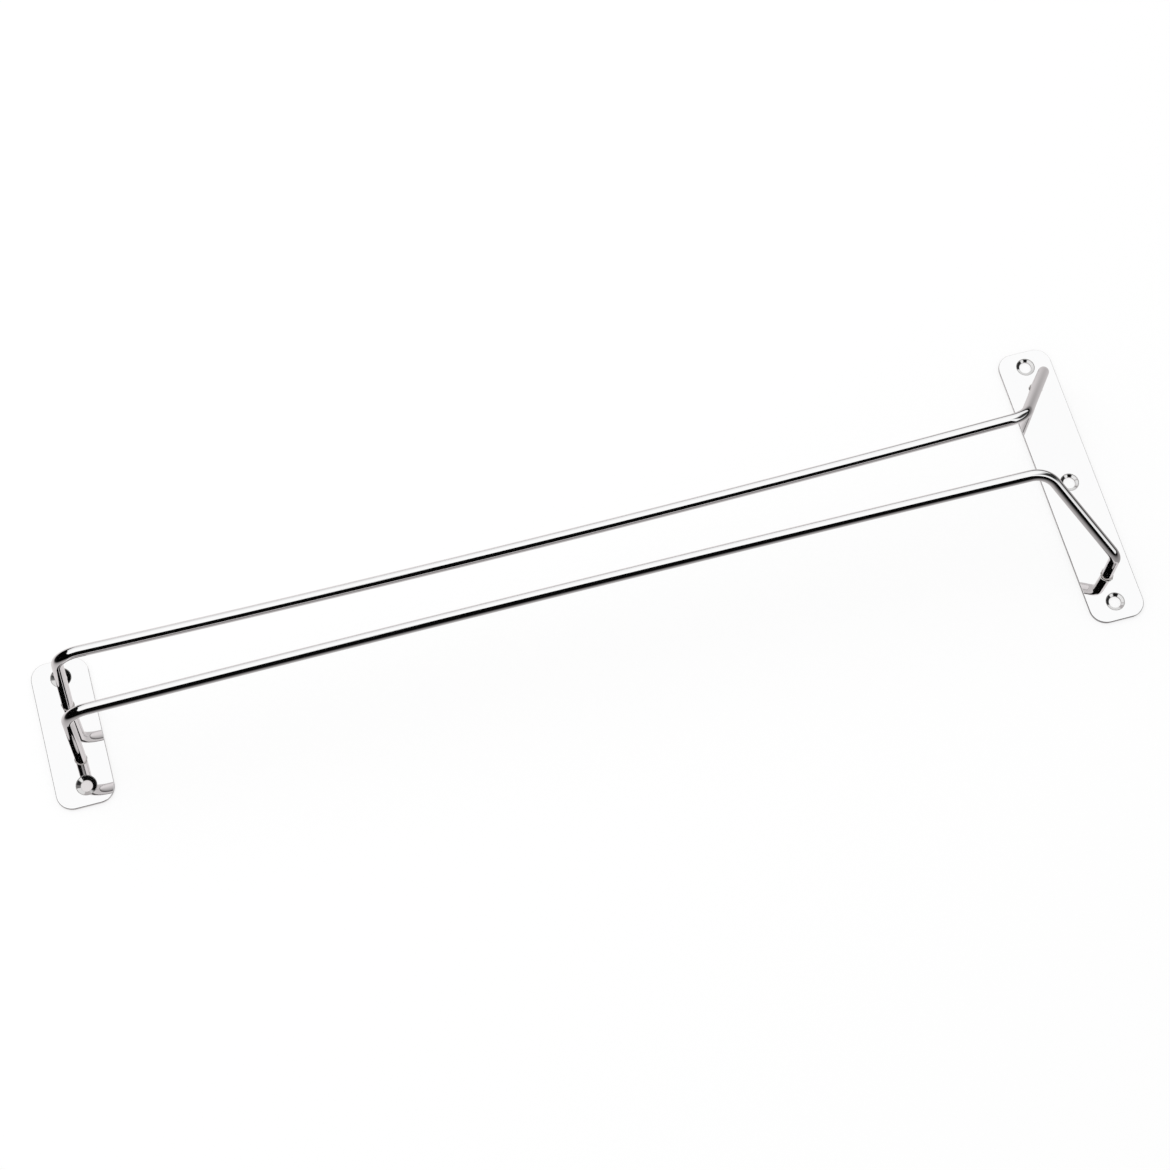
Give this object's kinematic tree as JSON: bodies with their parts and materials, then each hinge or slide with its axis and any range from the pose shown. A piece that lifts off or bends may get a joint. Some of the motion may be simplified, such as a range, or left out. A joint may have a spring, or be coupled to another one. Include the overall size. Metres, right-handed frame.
{
  "type": "hanging wine glass rack",
  "caption": "Chrome wire rack screwed under a shelf: stemmed glasses slide in at its flared mouth and hang by their feet.",
  "frame": {"origin": "middle of the rack in plan, on the plane of the two plates' mounting faces", "axes": "+X along the rails from the closed end to the mouth, +Y across to the left wire, +Z from the mounting faces to the rails, which point down once the rack hangs under a shelf"},
  "size_m": [0.4064, 0.1154, 0.0505],
  "materials": {
    "plate_chrome": "bright chrome plate, polished, with faint handling scratches",
    "wire_chrome": "bright chrome plate over drawn wire",
    "weld_metal": "chrome plate over rough weld metal, duller than the wire"
  },
  "bodies": {
    "root": {"small_plate": "plate_chrome", "wide_plate": "plate_chrome", "left_rail_wire": "wire_chrome", "right_rail_wire": "wire_chrome", "small_plate_left_weld": "weld_metal", "small_plate_right_weld": "weld_metal", "wide_plate_left_weld": "weld_metal", "wide_plate_right_weld": "weld_metal"}
  },
  "joints": []
}
